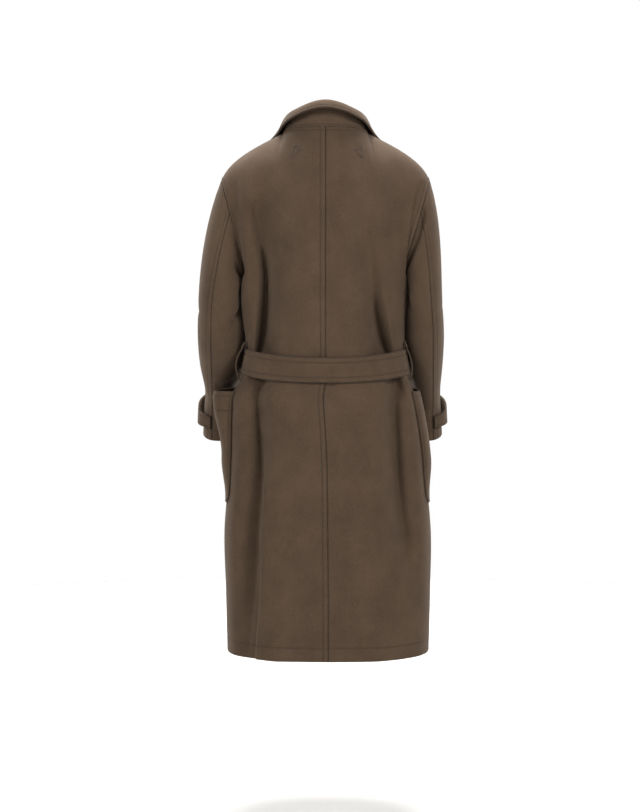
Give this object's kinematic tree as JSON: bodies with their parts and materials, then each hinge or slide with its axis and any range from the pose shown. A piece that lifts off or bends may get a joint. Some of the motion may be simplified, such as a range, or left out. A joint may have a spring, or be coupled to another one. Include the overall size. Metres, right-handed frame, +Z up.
{
  "type": "wrap coat",
  "caption": "Long belted wrap coat in heavy brown wool, worn and hollow, with a turned-up collar, wide lapels, patch pockets, cuff straps and a tied belt",
  "frame": {"origin": "middle of the back neck seam, the level at which the wearer's shoulders and neck hold the coat up", "axes": "+Z up the wearer's back, +X to the wearer's left, +Y out of the back, so the fronts wrap over each other on the -Y side"},
  "size_m": [0.5906, 0.4047, 1.2529],
  "materials": {
    "wool": "matte"
  },
  "bodies": {
    "root": {"back_left": "wool", "back_right": "wool", "front_left": "wool", "front_right": "wool", "lapel_left": "wool", "lapel_right": "wool", "collar": "wool", "sleeve_upper_left": "wool", "sleeve_upper_right": "wool", "sleeve_under_left": "wool", "sleeve_under_right": "wool", "cuff_strap_left": "wool", "cuff_strap_right": "wool", "pocket_left": "wool", "pocket_right": "wool", "belt_band": "wool", "belt_knot": "wool", "belt_end_left": "wool", "belt_end_right": "wool", "belt_loop_left": "wool", "belt_loop_right": "wool"}
  },
  "joints": []
}
